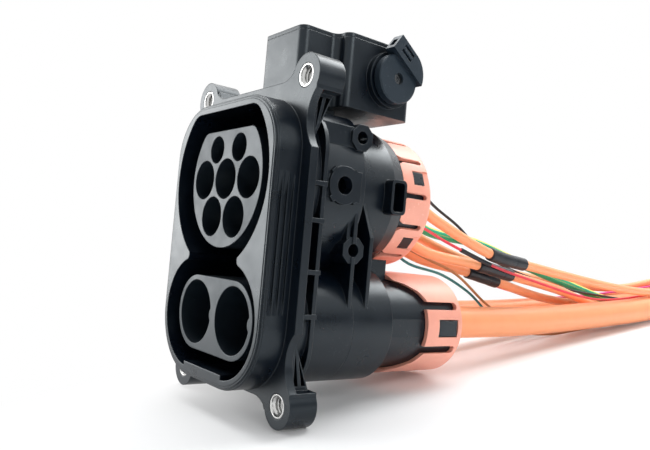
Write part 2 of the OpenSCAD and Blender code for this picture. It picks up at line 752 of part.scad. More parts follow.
module dc_pin_tips() color("#2f3235") for (p = dc_xz) translate([p[0], face_y + dc_tip_depth, p[1]]) {
  rod_y(dc_pin_r, -1.6, 0);
  rod_y(dc_pin_r - 0.6, -2.4, -1.5);
}

module ac_pin_retainer() color("#3a3d40") difference() {
  rod_y(ac_pocket_r - seat_gap, ac_block_rear + pin_collar_t, y_sig, 0, ac_z);
  for (p = concat(ac_power_xz, [ac_earth_xz])) rod_y(ac_body_r, ac_block_rear, y_sig + e, p[0], p[1]);
  for (p = ac_signal_xz) rod_y(signal_body_r, ac_block_rear, y_sig + e, p[0], p[1]);
}

module dc_pin_retainer() color("#3a3d40") difference() {
  slab(dc_block_rear + pin_collar_t, dc_block_rear + pin_collar_t + retainer_t)
    translate([0, dc_z]) stadium(dc_pocket_r - seat_gap, dc_half_pitch);
  for (p = dc_xz) rod_y(dc_body_r, dc_block_rear, dc_crimp_rear, p[0], p[1]);
}

module ac_wire_seal() color("#1b1c1e") difference() {
  rod_y(ac_pocket_r - seat_gap, ac_neck_rear - ac_seal_t, ac_neck_rear, 0, ac_z);
  for (p = concat(ac_power_xz, [ac_earth_xz]))
    rod_y(ac_lead_r + 2 * seat_gap, ac_crimp_rear, ac_cap_rear, p[0], p[1]);
  for (p = concat(ac_signal_xz, wire_xz))
    rod_y(wire_r + 2 * seat_gap, ac_crimp_rear, ac_cap_rear, p[0], p[1]);
}

module dc_wire_seal() color("#1b1c1e") difference() {
  slab(dc_neck_rear - dc_seal_t, dc_neck_rear)
    translate([0, dc_z]) stadium(dc_pocket_r - seat_gap, dc_half_pitch);
  for (p = dc_xz) rod_y(dc_lead_r + 2 * seat_gap, dc_crimp_rear, dc_cap_rear, p[0], p[1]);
}

// Sensor blocks that ride on the DC crimps
sensor_w = 5;
sensor_len = 9;
sensor_h = 4;
sensor_gap = 2;
sensor_y = dc_block_rear + pin_collar_t + retainer_t + sensor_gap;
module temperature_sensors() color("#e8e2d0") for (p = dc_xz) difference() {
  translate([p[0] - sensor_w / 2, sensor_y, p[1] + dc_body_r - 1.2])
    cube([sensor_w, sensor_len, sensor_h]);
  rod_y(dc_body_r - 0.2 + seat_gap, dc_block_rear, dc_crimp_rear + e, p[0], p[1]);
}

// Rear caps

module ac_rear_cap() color(cap_orange) difference() {
  edge = 2.4;
  union() {
    rod_y(ac_cap_r, ac_cap_front, ac_cap_rear - edge, 0, ac_z);
    rod_y(ac_cap_r - edge, ac_cap_front, ac_cap_rear, 0, ac_z);
    translate([0, ac_cap_rear - edge, ac_z]) rotate([-90, 0, 0]) rotate_extrude()
      translate([ac_cap_r - edge, 0]) circle(edge);
  }
  rod_y(ac_cap_r - cap_wall, ac_cap_front - e, ac_cap_rear - cap_floor_t, 0, ac_z);
  for (a = ac_latch_angles) {
    round_ac(a) {
      translate([ac_cap_r - 3, ac_window_y, -ac_window[1] / 2]) cube([6, ac_window[0], ac_window[1]]);
      translate([ac_cap_r - ac_notch_sink, ac_window_y + ac_window[0] - e, -ac_notch_w / 2])
        cube([6, ac_cap_len, ac_notch_w]);
    }
    for (side = [-1, 1]) round_ac(a + side * ac_slot_angle) {
      translate([ac_cap_r - 3, ac_cap_front - e, -ac_slot_w / 2])
        cube([6, ac_slot_end - ac_slot_w / 2 - ac_cap_front + e, ac_slot_w]);
      rod_x(ac_slot_w / 2, ac_cap_r - 3, ac_cap_r + 3, ac_slot_end - ac_slot_w / 2, 0);
      translate([0, ac_cap_front, 0]) across(ac_cap_r - 3, ac_cap_r + 3)
        polygon([[-e, -2.6], [2.2, -ac_slot_w / 2], [2.2, ac_slot_w / 2], [-e, 2.6]]);
    }
  }
  for (p = concat(ac_power_xz, [ac_earth_xz]))
    rod_y(ac_lead_r + 0.5, ac_cap_rear - 3, ac_cap_rear + e, p[0], p[1]);
  for (p = concat(ac_signal_xz, wire_xz)) rod_y(wire_r + 0.5, ac_cap_rear - 3, ac_cap_rear + e, p[0], p[1]);
}

// Side cut of the DC cap's skirt: deep at the ends, with a latch tab left standing
module dc_skirt_cut() {
  tab = dc_tab_half;
  slot = dc_tab_half + dc_slot_w;
  across(-60, 60) translate([0, dc_z]) {
    polygon([
      [dc_cap_front - e, dc_cap_r - 2.4], [dc_cap_front + 4.6, dc_cap_r - 3.6],
      [dc_side_front - 3, slot + 3.8], [dc_side_front, slot],
      [dc_side_front, tab], [dc_tab_front, tab], [dc_tab_front, -tab],
      [dc_side_front, -tab], [dc_side_front, -slot], [dc_side_front - 3, -slot - 3.8],
      [dc_cap_front + 4.6, 3.6 - dc_cap_r], [dc_cap_front - e, 2.4 - dc_cap_r]
    ]);
    for (side = [-1, 1]) {
      translate([dc_side_front - e, side * (tab + dc_slot_w / 2) - dc_slot_w / 2])
        square([dc_slot_end - dc_slot_w / 2 - dc_side_front + e, dc_slot_w]);
      translate([dc_slot_end - dc_slot_w / 2, side * (tab + dc_slot_w / 2)]) circle(dc_slot_w / 2);
    }
    translate([dc_window_y, -dc_window[1] / 2]) square([dc_window[0], dc_window[1]]);
  }
}

module dc_rear_cap() color(cap_orange) difference() {
  union() {
    slab(dc_cap_front, dc_cap_rear - 2) translate([0, dc_z]) stadium(dc_cap_r, dc_half_pitch);
    slab(dc_cap_front, dc_cap_rear - 1) translate([0, dc_z]) stadium(dc_cap_r - 0.4, dc_half_pitch);
    slab(dc_cap_front, dc_cap_rear - 0.4) translate([0, dc_z]) stadium(dc_cap_r - 1, dc_half_pitch);
    slab(dc_cap_front, dc_cap_rear) translate([0, dc_z]) stadium(dc_cap_r - 2, dc_half_pitch);
  }
  slab(dc_cap_front - e, dc_cap_rear - cap_floor_t) translate([0, dc_z])
    stadium(dc_cap_r - cap_wall, dc_half_pitch);
  dc_skirt_cut();
  for (p = dc_xz) rod_y(dc_lead_r + 0.5, dc_cap_rear - 3, dc_cap_rear + e, p[0], p[1]);
}

// Lock actuator

module box_outline(inset) {
  round_rect(inset - box_left, box_right - inset, box_front + inset, box_rear - inset, 3 - inset / 2);
  round_rect(inset, box_bulge - inset, bulge_front + inset, box_rear - inset, 3 - inset / 2);
  difference() {
    translate([box_right - inset - e, bulge_front + inset - 2.5]) square([3 + e, 2.5 + e]);
    translate([box_right - inset + 3, bulge_front + inset - 3]) circle(3);
  }
}

module actuator_housing() color(housing_black) difference() {
  union() {
    difference() {
      translate([0, 0, box_z]) linear_extrude(box_h) box_outline(0);
      translate([0, 0, box_z + box_wall]) linear_extrude(box_h) box_outline(box_wall);
    }
    rod_x(release_r + 1.2, box_bulge - box_wall, collar_x, release_y, shaft_z);
    rod_x(shaft_r + 2, -box_left + box_wall - e, -box_left + box_wall + 3, release_y, shaft_z);
    for (x = [
      [-box_left + box_wall - e, -box_left + box_wall + 2],
      [gear_x + gear_t + 1.5, box_bulge - box_wall + e]
    ])
      rod_x(shaft_r + 1.5, x[0], x[1], transfer_y, shaft_z);
    for (y = ear_y) {
      translate([ear_x, y - ear_r, box_z]) cube([-box_left - ear_x + e, 2 * ear_r, ear_t]);
      translate([ear_x, y, box_z]) cylinder(h = ear_t, r = ear_r);
    }
  }
  rod_x(shaft_r + run_gap, -box_left + 1, collar_x + e, release_y, shaft_z);
  rod_x(shaft_r - 0.5 + run_gap, -box_left + 1, transfer_end + tail_gap, transfer_y, shaft_z);
  translate([0, lock_pin_y, box_z - e]) cylinder(h = box_wall + 2 * e, r = lock_pin_r + run_gap);
  for (y = ear_y) translate([ear_x, y, box_z - e]) cylinder(h = ear_t + 2 * e, r = screw_r + 0.3);
}

module actuator_lid() color(housing_black) {
  translate([0, 0, box_top]) linear_extrude(lid_t) box_outline(0);
  translate([0, 0, box_top - 1.4]) linear_extrude(1.5) difference() {
    box_outline(box_wall + seat_gap);
    box_outline(box_wall + 1.2);
  }
}

screw_head_r = 3.6;
screw_head_t = 2.4;
module actuator_screws() color("#b9bcbe") for (y = ear_y) translate([ear_x, y, 0]) {
  translate([0, 0, screw_tip_z]) cylinder(h = box_z + ear_t - screw_tip_z, r = screw_r);
  difference() {
    translate([0, 0, box_z + ear_t]) cylinder(h = screw_head_t, r = screw_head_r);
    translate([0, 0, box_z + ear_t + 1]) cylinder(h = 2, r = 1.8, $fn = 6);
  }
}

motor_r = 8.8;
motor_start = 3;
motor_end = 6;
module drive_motor() color("#9da1a4") difference() {
  rod_x(motor_r, -box_left + box_wall + motor_start, motor_end, release_y, shaft_z);
  rod_x(shaft_r + run_gap, -box_left, motor_end + 1, release_y, shaft_z);
}

module lock_switch() color("#33363a") {
  translate([8, box_front + box_wall + 0.2, box_z + box_wall]) cube([6, 6, 9]);
  translate([10, box_front + box_wall + 2, box_z + box_wall + 9]) cube([2, 2.4, 1.5]);
}

module lock_pin_seal() color("#1b1c1e") translate([0, lock_pin_y, box_z + box_wall]) difference() {
  cylinder(h = pin_seal_t, r = lock_pin_r + 1.8);
  translate([0, 0, -e]) cylinder(h = 3, r = lock_pin_r + run_gap);
}

// Gear with involute flanks, cut a little thin for running clearance
gear_angle = 20;
tooth_thin = 0.14;
addendum = 0.76;
dedendum = 1.2;
function involute(rb, t) = rb * [cos(t) + t * PI / 180 * sin(t), sin(t) - t * PI / 180 * cos(t)];
function turned(p, a) = [p[0] * cos(a) - p[1] * sin(a), p[0] * sin(a) + p[1] * cos(a)];

module gear_outline(teeth, phase) {
  rp = gear_m * teeth / 2;
  rb = rp * cos(gear_angle);
  ra = rp + addendum * gear_m;
  rr = rp - dedendum * gear_m;
  tip_roll = sqrt(pow(ra / rb, 2) - 1) * 180 / PI;
  half = 90 / teeth * (1 - tooth_thin) + tan(gear_angle) * 180 / PI - gear_angle;
  flank = [for (i = [0 : 4]) turned(involute(rb, tip_roll * i / 4), -half)];
  mirrored = [for (i = [4 : -1 : 0]) [flank[i][0], -flank[i][1]]];
  root = turned([rr - 0.2, 0], -half);
  circle(rr);
  for (k = [0 : teeth - 1]) rotate(phase + k * 360 / teeth)
    polygon(concat([root], flank, mirrored, [[root[0], -root[1]]]));
}

module transfer_gear() color("#e3dcc6") translate([0, transfer_y, shaft_z]) {
  across(gear_x, gear_x + gear_t) gear_outline(transfer_teeth, 180 / transfer_teeth);
  across(pinion_x, gear_x + e) gear_outline(pinion_teeth, 0);
  rod_x(shaft_r - 0.5, -box_left + shaft_inset, transfer_end, 0, 0);
}

module drive_gear() color("#8e9296") translate([0, release_y, shaft_z]) {
  across(gear_x, gear_x + gear_t) gear_outline(drive_teeth, 0);
  rod_x(shaft_r, -box_left + shaft_inset, disc_x + 1, 0, 0);
}

// Lock pin with a rack on its rear side
pin_seal_t = 1.4;
rack_bottom = box_z + box_wall + pin_seal_t + lock_travel + 0.5;
rack_teeth = 4;
module lock_pin() color("#b4b8bb") {
  pitch = PI * gear_m;
  half = pitch / 4 * (1 - tooth_thin);
  translate([0, lock_pin_y, lock_tip_z]) cylinder(h = rack_bottom - lock_tip_z + 1, r = lock_pin_r);
  across(-2.4, 6) {
    translate([lock_pin_y - 2, rack_bottom])
      square([rack_y - dedendum * gear_m - lock_pin_y + 2, (rack_teeth + 0.4) * pitch]);
    for (k = [0 : rack_teeth - 1])
      translate([rack_y, shaft_z + (k - 0.5) * pitch])
        polygon([
          [-dedendum - 0.1, -half - dedendum * tan(gear_angle)],
          [addendum, -half + addendum * tan(gear_angle)],
          [addendum, half - addendum * tan(gear_angle)],
          [-dedendum - 0.1, half + dedendum * tan(gear_angle)]
        ]);
  }
}

// Release disc with its thumb lever: a raised segment that runs out into a square-ended tab
lever_turn = -36;
lever_r = 9.9;
lever_middle = [-0.6, 2.5];
lever_top = lever_middle[1] + lever_r - 0.05;
lever_chord = 5.4;
lever_end = -10.6;
grip_len = 5.6;
module lever_outline() {
  intersection() {
    translate(lever_middle) circle(lever_r);
    translate([-e, lever_chord]) square([lever_r + 2 * e, lever_r]);
  }
  translate([lever_end, lever_chord]) square([-lever_end, lever_top - lever_chord]);
}

module release_lever() color("#2c2f33") translate([0, release_y, shaft_z]) difference() {
  union() {
    rod_x(release_r, disc_x, disc_x + disc_t - disc_edge, 0, 0);
    translate([disc_x + disc_t - disc_edge, 0, 0]) rotate([0, 90, 0])
      cylinder(h = disc_edge, r1 = release_r, r2 = release_r - disc_edge);
    rotate([lever_turn, 0, 0]) across(disc_x + 0.2, disc_x + lever_t) lever_outline();
  }
  rod_x(shaft_r + 0.02, disc_x - e, disc_x + 1.5, 0, 0);
  rod_x(release_screw_r + seat_gap, disc_x + 1, disc_x + lever_t, 0, 0);
  rotate([lever_turn, 0, 0]) {
    for (n = [7.4, 9.8]) translate([disc_x + lever_t - 1, -7, n]) cube([2, grip_len, 1.2]);
    translate([disc_x + 1.4, lever_end - 1, 7]) cube([2.4, 4, 3.4]);
  }
}

module release_screw() color("#3a3c3f") translate([0, release_y, shaft_z]) difference() {
  rod_x(release_screw_r, disc_x + 1, disc_x + 2.2, 0, 0);
  translate([disc_x + 1.5, 0, 0]) rotate([0, 90, 0]) cylinder(h = 2, r = 1.3, $fn = 6);
}

// Leads: a round tube carried along its route

function unit(v) = v / norm(v);
function route_dir(p, i) = unit(p[min(i + 1, len(p) - 1)] - p[max(i - 1, 0)]);
function ring(c, d, r, sides) =
  let (u = unit(cross(d, [0, 0, 1])), v = cross(u, d))
  [for (k = [0 : sides - 1]) c + r * (cos(360 * k / sides) * u + sin(360 * k / sides) * v)];

module lead(route, r, sides) {
  last = len(route) - 1;
  points = [for (i = [0 : last]) each ring(route[i], i == 0 ? [0, 1, 0] : route_dir(route, i), r, sides)];
  walls = [for (i = [0 : last - 1], k = [0 : sides - 1])
    let (a = i * sides + k, b = i * sides + (k + 1) % sides) [a, b, b + sides, a + sides]];
  near = [for (k = [sides - 1 : -1 : 0]) k];
  far = [for (k = [0 : sides - 1]) last * sides + k];
  polyhedron(points, concat([near], walls, [far]), convexity = 6);
}

module dc_cable_right() color(lead_orange) lead(dc_right_route, dc_lead_r, 12);
module dc_cable_left() color(lead_orange) lead(dc_left_route, dc_lead_r, 12);
module ac_cable_l1() color(lead_orange) lead(l1_route, ac_lead_r, 8);
module ac_cable_l2() color(lead_orange) lead(l2_route, ac_lead_r, 8);
module ac_cable_l3() color(lead_orange) lead(l3_route, ac_lead_r, 8);
module ac_cable_n() color(lead_orange) lead(n_route, ac_lead_r, 8);
module earth_cable() color("#2fa06a") lead(earth_route, ac_lead_r, 8);

// Shrink sleeves over one stretch of three orange AC leads and the red wire
module cable_sleeves() color("#2a2c30") {
  lead([l1_route[3], l1_route[4]], ac_lead_r + sleeve_wall, 8);
  lead([l2_route[3], l2_route[4]], ac_lead_r + sleeve_wall, 8);
  lead([l3_route[3], l3_route[4]], ac_lead_r + sleeve_wall, 8);
  lead([red_route[3], red_route[4]], wire_r + sleeve_wall / 2, 8);
}

module wire_black() color("#2b2d30") lead(black_route, wire_r, 8);
module wire_blue() color("#2456a8") lead(blue_route, wire_r, 8);
module wire_red() color("#d8333f") lead(red_route, wire_r, 8);
module wire_teal() color("#2f7f86") lead(teal_route, wire_r, 8);
module wire_brown() color("#8a5a34") lead(brown_route, wire_r, 8);
module wire_pink() color("#e0489a") lead(pink_route, wire_r, 8);

housing();
rear_barrels();
ac_contact_block();
dc_contact_block();
ac_contact_carrier();
dc_contact_carrier();
flange_inserts();
ac_power_pins();
ac_earth_pin();
ac_signal_pins();
dc_power_pins();
dc_pin_tips();
ac_pin_retainer();
dc_pin_retainer();
ac_wire_seal();
dc_wire_seal();
temperature_sensors();
ac_rear_cap();
dc_rear_cap();
actuator_housing();
actuator_lid();
actuator_screws();
drive_motor();
lock_switch();
lock_pin_seal();
lock_pin();
transfer_gear();
drive_gear();
release_lever();
release_screw();
dc_cable_right();
dc_cable_left();
ac_cable_l1();
ac_cable_l2();
ac_cable_l3();
ac_cable_n();
earth_cable();
cable_sleeves();
wire_black();
wire_blue();
wire_red();
wire_teal();
wire_brown();
wire_pink();
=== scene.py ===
"""Looks of the charge inlet: finishes, leads, threaded inserts and the studio it stands in."""

import json
import math

import bmesh
import bpy
import numpy as np
from mathutils import Matrix, Vector


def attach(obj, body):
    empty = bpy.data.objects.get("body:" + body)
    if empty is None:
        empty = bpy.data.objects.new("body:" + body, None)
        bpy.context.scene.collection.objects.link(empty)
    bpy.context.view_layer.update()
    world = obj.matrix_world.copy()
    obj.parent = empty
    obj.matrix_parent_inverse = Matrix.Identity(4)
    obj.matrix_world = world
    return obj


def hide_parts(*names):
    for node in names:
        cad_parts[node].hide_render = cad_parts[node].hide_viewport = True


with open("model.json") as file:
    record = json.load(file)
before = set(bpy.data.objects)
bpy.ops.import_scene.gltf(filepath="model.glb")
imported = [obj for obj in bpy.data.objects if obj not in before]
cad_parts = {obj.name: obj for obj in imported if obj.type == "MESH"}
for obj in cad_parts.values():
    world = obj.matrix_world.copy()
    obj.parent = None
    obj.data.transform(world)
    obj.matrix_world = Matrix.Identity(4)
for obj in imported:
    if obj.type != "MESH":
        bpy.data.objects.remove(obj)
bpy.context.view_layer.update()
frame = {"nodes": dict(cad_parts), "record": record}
nodes = frame["nodes"]

MM = 0.001
FULL_TURN = 2 * math.pi
BODY = "inlet"
SLOT_OF = {entry["node"]: entry["material_slot"] for entry in frame["record"]["subparts"]}


# Camera, as fitted to the photograph: place in millimetres and axes, in the part's frame

CAMERA_PLACE = (213.44, -123.21, -3.18)
CAMERA_RIGHT = (0.6071, 0.7898, 0.0869)
CAMERA_UP = (-0.0211, -0.0933, 0.9954)
CAMERA_LENS = 36.55
SENSOR_WIDTH = 36.0
CLIP_NEAR = 5.0
CLIP_FAR = 20000.0


def make_camera():
    """Places the camera from its right and up axes; its third axis, right x up, points backwards."""
    right = Vector(CAMERA_RIGHT).normalized()
    up = Vector(CAMERA_UP)
    up = (up - up.dot(right) * right).normalized()
    back = right.cross(up)
    data = bpy.data.cameras.new("camera")
    data.lens = CAMERA_LENS
    data.sensor_width = SENSOR_WIDTH
    data.sensor_fit = "HORIZONTAL"
    data.clip_start = CLIP_NEAR * MM
    data.clip_end = CLIP_FAR * MM
    camera = bpy.data.objects.new("camera", data)
    turn = Matrix((right, up, back)).transposed().to_4x4()
    camera.matrix_world = Matrix.Translation(Vector(CAMERA_PLACE) * MM) @ turn
    bpy.context.collection.objects.link(camera)
    bpy.context.scene.camera = camera


# Mesh helpers

def mesh_piece(name, points, faces, material, uv=None, smooth=True):
    """Makes an object at the origin from points in metres and lists of corner numbers."""
    mesh = bpy.data.meshes.new(name)
    mesh.from_pydata(np.asarray(points).tolist(), [], [tuple(face) for face in faces])
    mesh.polygons.foreach_set("use_smooth", [smooth] * len(mesh.polygons))
    if uv is not None:
        layer = mesh.uv_layers.new(name="UVMap")
        corner = np.empty(len(mesh.loops), dtype=np.int32)
        mesh.loops.foreach_get("vertex_index", corner)
        layer.data.foreach_set("uv", np.asarray(uv)[corner].ravel())
    mesh.materials.append(material)
    mesh.update()
    piece = bpy.data.objects.new(name, mesh)
    bpy.context.collection.objects.link(piece)
    return piece


def grid_faces(rows, columns, close_rows=False):
    """Quads of a grid whose point i, j has the number i * columns + j. Its columns close round, and where
    asked its rows do too."""
    i = np.arange(rows if close_rows else rows - 1)
    i, j = (a.ravel() for a in np.meshgrid(i, np.arange(columns), indexing="ij"))
    here = i * columns
    below = (i + 1) % rows * columns
    right = (j + 1) % columns
    return np.stack([here + j, here + right, below + right, below + j], axis=1)


def smooth_route(points, spacing=3.0):
    """Centripetal Catmull-Rom curve through a route's points, in millimetres, about evenly spaced. Each
    span blends the lines through its four nearest points, with knots at the roots of their distances."""
    p = np.asarray(points, dtype=float)
    p = np.vstack([2 * p[0] - p[1], p, 2 * p[-1] - p[-2]])
    out = []
    for a, b, c, d in zip(p[:-3], p[1:-2], p[2:-1], p[3:]):
        t1 = np.linalg.norm(b - a) ** 0.5
        t2 = t1 + np.linalg.norm(c - b) ** 0.5
        t3 = t2 + np.linalg.norm(d - c) ** 0.5
        steps = max(2, int(np.linalg.norm(c - b) / spacing))
        t = np.linspace(t1, t2, steps, endpoint=False)[:, None]
        ab = (t1 - t) / t1 * a + t / t1 * b
        bc = (t2 - t) / (t2 - t1) * b + (t - t1) / (t2 - t1) * c
        cd = (t3 - t) / (t3 - t2) * c + (t - t2) / (t3 - t2) * d
        abc = (t2 - t) / t2 * ab + t / t2 * bc
        bcd = (t3 - t) / (t3 - t1) * bc + (t - t1) / (t3 - t1) * cd
        out.append((t2 - t) / (t2 - t1) * abc + (t - t1) / (t2 - t1) * bcd)
    out.append(p[-2][None, :])
    return np.vstack(out)


def path_frames(path):
    """Two unit directions square to a path at each point: side = along x vertical, up = side x along."""
    along = np.gradient(path, axis=0)
    along /= np.linalg.norm(along, axis=1)[:, None]
    side = np.cross(along, [0.0, 0.0, 1.0])
    side /= np.linalg.norm(side, axis=1)[:, None]
    return side, np.cross(side, along)


def path_steps(path):
    """Lengths of the steps between a path's points."""
    return np.linalg.norm(np.diff(path, axis=0), axis=1)


def tube(path, radius, sides):
    """Round tube with flat closed ends: point i, k = path i + radius i * (cos k * side i + sin k * up i).
    Returns points in millimetres, faces, and UV as metres along the path and the share of a turn."""
    radius = np.broadcast_to(np.asarray(radius, dtype=float), (len(path),))
    side, up = path_frames(path)
    turn = np.linspace(0.0, FULL_TURN, sides, endpoint=False)
    across = np.cos(turn)[None, :, None] * side[:, None, :]
    upwards = np.sin(turn)[None, :, None] * up[:, None, :]
    points = path[:, None, :] + radius[:, None, None] * (across + upwards)
    run = np.concatenate([[0.0], np.cumsum(path_steps(path))]) * MM
    u = np.broadcast_to(run[:, None], points.shape[:2])
    v = np.broadcast_to(turn[None, :] / FULL_TURN, points.shape[:2])
    k = np.arange(sides)
    following = (k + 1) % sides
    last = (len(path) - 1) * sides
    near_middle = np.full(sides, len(path) * sides)
    near = np.stack([k, following, near_middle], axis=1)
    far = np.stack([last + following, last + k, near_middle + 1], axis=1)
    faces = [*grid_faces(len(path), sides)[:, ::-1].tolist(), *near.tolist(), *far.tolist()]
    uv = np.vstack([np.stack([u.ravel(), v.ravel()], axis=1), [[0.0, 0.0], [run[-1], 0.0]]])
    return np.vstack([points.reshape(-1, 3), path[:1], path[-1:]]), faces, uv


# Shader nodes

NOISE_LOW = 0.3
NOISE_HIGH = 0.7


def noise_node(tree, scale, detail, rough):
    node = tree.nodes.new("ShaderNodeTexNoise")
    node.inputs["Scale"].default_value = scale
    node.inputs["Detail"].default_value = detail
    node.inputs["Roughness"].default_value = rough
    return node


def math_node(tree, operation, second=None):
    node = tree.nodes.new("ShaderNodeMath")
    node.operation = operation
    if second is not None:
        node.inputs[1].default_value = second
    return node


def vector_node(tree, operation, second):
    node = tree.nodes.new("ShaderNodeVectorMath")
    node.operation = operation
    node.inputs[1].default_value = second
    return node


def range_node(tree, low, high, to_low, to_high):
    node = tree.nodes.new("ShaderNodeMapRange")
    node.inputs["From Min"].default_value = low
    node.inputs["From Max"].default_value = high
    node.inputs["To Min"].default_value = to_low
    node.inputs["To Max"].default_value = to_high
    return node


def stretch_node(tree, scale):
    node = tree.nodes.new("ShaderNodeMapping")
    node.inputs["Scale"].default_value = scale
    return node


def group_node(tree, group):
    node = tree.nodes.new("ShaderNodeGroup")
    node.node_tree = group
    return node


def mix_node(tree, low, high):
    node = tree.nodes.new("ShaderNodeMix")
    node.data_type = "RGBA"
    node.inputs["A"].default_value = (*low, 1.0)
    node.inputs["B"].default_value = (*high, 1.0)
    return node


def scaled(colour, gain, lift=0.0):
    return tuple(min(1.0, part * gain + lift) for part in colour)


def link_gloss(tree, shader, noise, rough, drift):
    """Roughness that goes from rough - drift to rough + drift with a noise."""
    gloss = range_node(tree, NOISE_LOW, NOISE_HIGH, rough - drift, rough + drift)
    tree.links.new(noise, gloss.inputs["Value"])
    tree.links.new(gloss.outputs["Result"], shader.inputs["Roughness"])


def link_bump(tree, shader, height, strength, depth):
    """Bump from a height, with its full depth in millimetres. Returns the bump node."""
    bump = tree.nodes.new("ShaderNodeBump")
    bump.inputs["Strength"].default_value = strength
    bump.inputs["Distance"].default_value = depth * MM
    tree.links.new(height, bump.inputs["Height"])
    tree.links.new(bump.outputs["Normal"], shader.inputs["Normal"])
    return bump


def soften_edges(tree, bump, radius, samples):
    """Rounds the shading of sharp edges under a bump, with a radius in millimetres."""
    soft_edge = tree.nodes.new("ShaderNodeBevel")
    soft_edge.samples = samples
    soft_edge.inputs["Radius"].default_value = radius * MM
    tree.links.new(soft_edge.outputs["Normal"], bump.inputs["Normal"])


# Shader groups that several finishes share

GRAIN_SCALE = 5200.0
DRIFT_SCALE = 95.0
SPECK_SCALE = 900.0
SPECK_CUT = (0.66, 0.76)
PATCH_SCALE = 60.0
PATCH_CUT = (0.45, 0.7)


def new_group(name, inputs, outputs):
    """An empty shader group with named inputs and number outputs, and its two end nodes."""
    group = bpy.data.node_groups.new(name, "ShaderNodeTree")
    for label, kind in inputs:
        group.interface.new_socket(label, in_out="INPUT", socket_type=kind)
    for label in outputs:
        group.interface.new_socket(label, in_out="OUTPUT", socket_type="NodeSocketFloat")
    return group, group.nodes.new("NodeGroupInput"), group.nodes.new("NodeGroupOutput")


def make_grain_group():
    """Moulded surface: fine spark-eroded grain as a height, and a slow drift as a mask."""
    group, ends_in, ends_out = new_group(
        "moulded_grain",
        [("Vector", "NodeSocketVector"), ("Grain Scale", "NodeSocketFloat")],
        ["Height", "Drift"],
    )
    grain = noise_node(group, GRAIN_SCALE, 3.0, 0.6)
    drift = noise_node(group, DRIFT_SCALE, 3.0, 0.55)
    link = group.links.new
    link(ends_in.outputs["Vector"], grain.inputs["Vector"])
    link(ends_in.outputs["Grain Scale"], grain.inputs["Scale"])
    link(ends_in.outputs["Vector"], drift.inputs["Vector"])
    link(grain.outputs["Fac"], ends_out.inputs["Height"])
    link(drift.outputs["Fac"], ends_out.inputs["Drift"])
    return group


def make_speck_group():
    """Sparse specks in patches, as a mask: the product of a fine and a broad noise, cut near their tops."""
    group, ends_in, ends_out = new_group("specks", [("Vector", "NodeSocketVector")], ["Mask"])
    fine = noise_node(group, SPECK_SCALE, 1.0, 0.4)
    broad = noise_node(group, PATCH_SCALE, 2.0, 0.5)
    cut = range_node(group, *SPECK_CUT, 0.0, 1.0)
    patch = range_node(group, *PATCH_CUT, 0.0, 1.0)
    both = math_node(group, "MULTIPLY")
    link = group.links.new
    link(ends_in.outputs["Vector"], fine.inputs["Vector"])
    link(ends_in.outputs["Vector"], broad.inputs["Vector"])
    link(fine.outputs["Fac"], cut.inputs["Value"])
    link(broad.outputs["Fac"], patch.inputs["Value"])
    link(cut.outputs["Result"], both.inputs[0])
    link(patch.outputs["Result"], both.inputs[1])
    link(both.outputs["Value"], ends_out.inputs["Mask"])
    return group


GRAIN = make_grain_group()
SPECKS = make_speck_group()


# Finishes; depths and edge radii in millimetres

PLAIN = (1.0, 1.0, 1.0)
COOL = (0.84, 0.95, 1.0)

PLASTIC_TONE_LOW = 0.82
PLASTIC_TONE_HIGH = 1.18
PLASTIC_GRAIN_DEPTH = 0.04
PLASTIC_EDGE_SAMPLES = 6
SPECK_GAIN = 1.35
SPECK_LIFT = 0.02

METAL_TONE_LOW = 0.9
METAL_GLOSS_DRIFT = 0.08
METAL_BUMP = 0.15
METAL_LINE_DEPTH = 0.03
METAL_EDGE = 0.12
METAL_EDGE_SAMPLES = 4

JACKET_TONE_LOW = 0.9
JACKET_TONE_HIGH = 1.08
JACKET_ROUGH = 0.38
JACKET_GLOSS_DRIFT = 0.06
JACKET_SPECULAR = 0.4
JACKET_BUMP = 0.2
JACKET_LINE_DEPTH = 0.06
JACKET_LINE_SCALE = 3.0
JACKET_STRETCH = (3.0, 40.0, 1.0)
STRIPES_IN_A_TURN = 2.0


def blank_material(name):
    material = bpy.data.materials.new(name)
    material.use_nodes = True
    tree = material.node_tree
    return material, tree, tree.nodes["Principled BSDF"]


def plastic(name, colour, rough, drift=0.08, grain=0.25, edge=0.45, specular=0.5, tint=PLAIN):
    """Moulded plastic: grain as bump over soft edges, slow drift of tone and gloss, a few pale specks."""
    material, tree, shader = blank_material(name)
    link = tree.links.new
    place = tree.nodes.new("ShaderNodeTexCoord")
    surface = group_node(tree, GRAIN)
    surface.inputs["Grain Scale"].default_value = GRAIN_SCALE
    link(place.outputs["Object"], surface.inputs["Vector"])
    specks = group_node(tree, SPECKS)
    link(place.outputs["Object"], specks.inputs["Vector"])
    tone = mix_node(tree, scaled(colour, PLASTIC_TONE_LOW), scaled(colour, PLASTIC_TONE_HIGH))
    link(surface.outputs["Drift"], tone.inputs["Factor"])
    speckled = mix_node(tree, colour, scaled(colour, SPECK_GAIN, SPECK_LIFT))
    link(tone.outputs["Result"], speckled.inputs["A"])
    link(specks.outputs["Mask"], speckled.inputs["Factor"])
    link(speckled.outputs["Result"], shader.inputs["Base Color"])
    link_gloss(tree, shader, surface.outputs["Drift"], rough, drift)
    bump = link_bump(tree, shader, surface.outputs["Height"], grain, PLASTIC_GRAIN_DEPTH)
    soften_edges(tree, bump, edge, PLASTIC_EDGE_SAMPLES)
    shader.inputs["Specular IOR Level"].default_value = specular
    shader.inputs["Specular Tint"].default_value = (*tint, 1.0)
    return material


